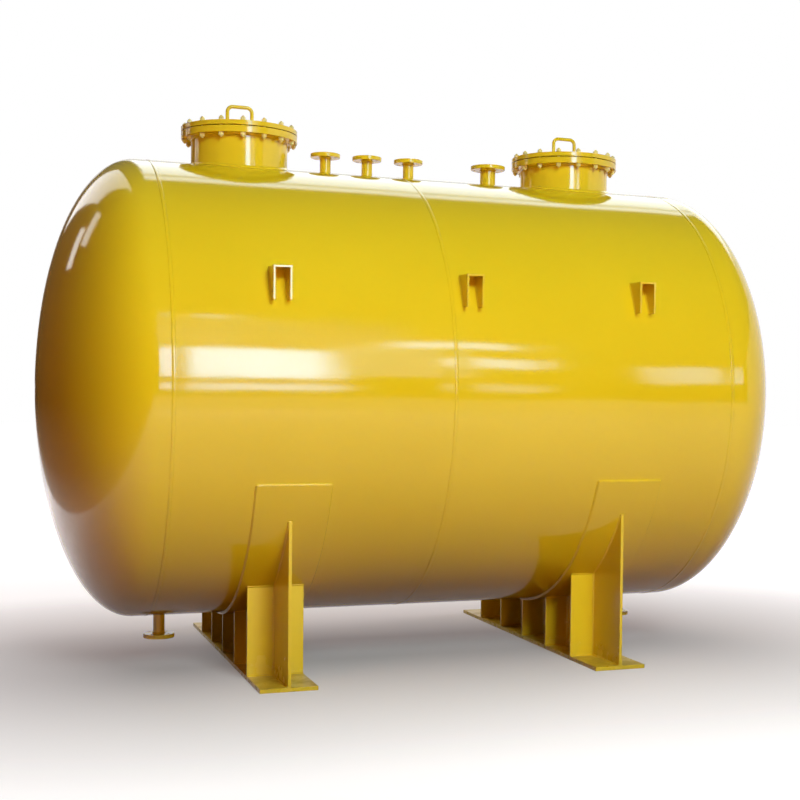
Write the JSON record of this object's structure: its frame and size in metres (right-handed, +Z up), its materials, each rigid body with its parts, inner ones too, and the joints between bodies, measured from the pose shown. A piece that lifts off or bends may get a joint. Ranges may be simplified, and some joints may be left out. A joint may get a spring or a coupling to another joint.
{
  "type": "above-ground fuel tank",
  "caption": "Horizontal cylindrical steel fuel tank with dished ends on welded saddles, with bolted manways and flanged nozzles on top, drain nozzles below and side clips.",
  "frame": {"origin": "on the ground under the middle of the tank", "axes": "+X along the tank towards the end with the larger top nozzle, +Y across it away from the side with the clips, +Z up"},
  "size_m": [4.016, 2.4199, 3.025],
  "materials": {
    "shell_enamel": "high gloss yellow enamel",
    "saddle_enamel": "gloss yellow enamel",
    "fitting_enamel": "gloss yellow enamel",
    "gasket_rubber": "matte"
  },
  "bodies": {
    "root": {"shell_course_left": "shell_enamel", "shell_course_right": "shell_enamel", "head_left": "shell_enamel", "head_right": "shell_enamel", "manway_left_neck": "fitting_enamel", "manway_left_flange": "fitting_enamel", "manway_left_gasket": "gasket_rubber", "manway_left_cover": "fitting_enamel", "manway_left_handle": "fitting_enamel", "manway_right_neck": "fitting_enamel", "manway_right_flange": "fitting_enamel", "manway_right_gasket": "gasket_rubber", "manway_right_cover": "fitting_enamel", "manway_right_handle": "fitting_enamel", "nozzle_1_neck": "fitting_enamel", "nozzle_1_flange": "fitting_enamel", "nozzle_2_neck": "fitting_enamel", "nozzle_2_flange": "fitting_enamel", "nozzle_3_neck": "fitting_enamel", "nozzle_3_flange": "fitting_enamel", "nozzle_4_neck": "fitting_enamel", "nozzle_4_flange": "fitting_enamel", "drain_left_neck": "fitting_enamel", "drain_left_flange": "fitting_enamel", "drain_right_neck": "fitting_enamel", "drain_right_flange": "fitting_enamel", "saddle_left_wear_plate": "saddle_enamel", "saddle_left_web": "saddle_enamel", "saddle_left_ribs": "saddle_enamel", "saddle_left_base_plate": "saddle_enamel", "saddle_right_wear_plate": "saddle_enamel", "saddle_right_web": "saddle_enamel", "saddle_right_ribs": "saddle_enamel", "saddle_right_base_plate": "saddle_enamel", "clip_tops": "fitting_enamel", "clip_gussets": "fitting_enamel"}
  },
  "joints": []
}
